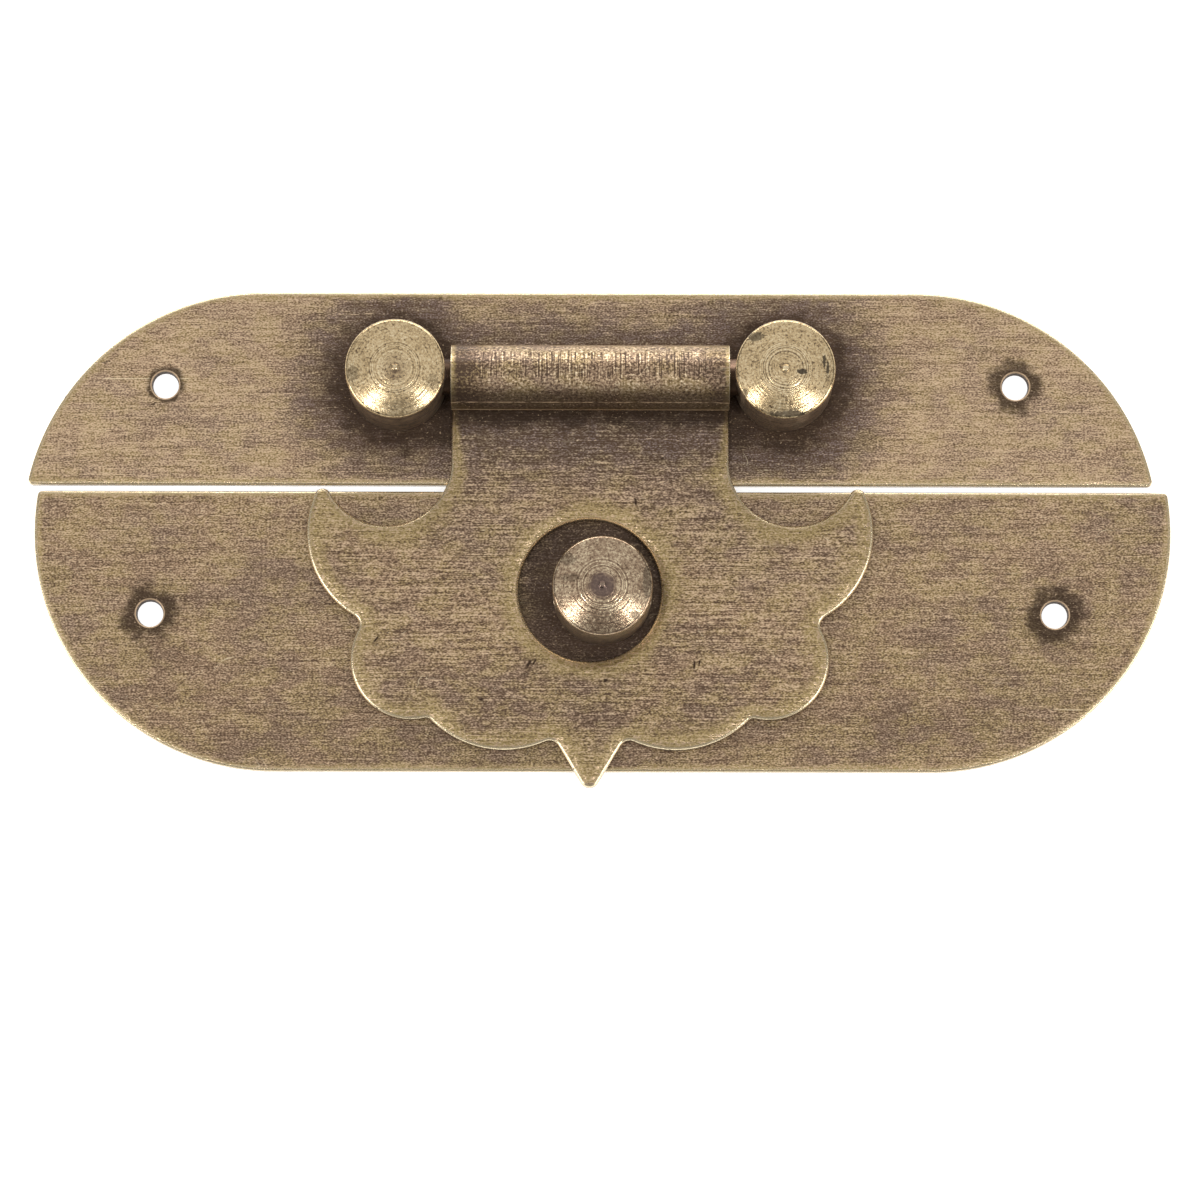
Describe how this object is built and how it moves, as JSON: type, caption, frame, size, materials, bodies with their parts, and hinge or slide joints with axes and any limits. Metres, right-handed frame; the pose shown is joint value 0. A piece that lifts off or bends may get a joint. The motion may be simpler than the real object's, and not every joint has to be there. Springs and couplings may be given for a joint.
{
  "type": "box latch",
  "caption": "Aged brass box latch: two sheet plates in one stadium outline, a lobed hasp rolled round a hinge pin between turned posts, and a turned catch post with a padlock hole.",
  "frame": {"origin": "on the lid plate's back face, straight behind the middle of the hinge pin", "axes": "+X to the right along the hinge pin, +Y towards the lid, +Z out of the box towards the user"},
  "size_m": [0.1007, 0.044, 0.0091],
  "materials": {
    "plate_brass": "brushed sheet brass, antiqued brown and worn back to olive gold at the edges",
    "hasp_brass": "brushed sheet brass, antiqued and worn bright along its rounded edges",
    "post_brass": "turned brass with fine rings, antiqued sides and worn bright tops",
    "pin_bronze": "drawn pin, dull pinkish bronze"
  },
  "bodies": {
    "box_half": {"box_plate": "plate_brass", "catch_post": "post_brass"},
    "lid_half": {"lid_plate": "plate_brass", "left_hinge_post": "post_brass", "right_hinge_post": "post_brass", "hinge_pin": "pin_bronze"},
    "hasp": {"hasp": "hasp_brass"}
  },
  "joints": [
    {"name": "lid_half_lift_off", "type": "slide", "parent": "box_half", "child": "lid_half", "axis": [0, 0, 1], "range_m": [0, 0.012]},
    {"name": "hasp_swing", "type": "hinge", "parent": "lid_half", "child": "hasp", "pos_m": [0, 0, 0.0039], "axis": [-1, 0, 0], "range_deg": [0, 180]}
  ]
}
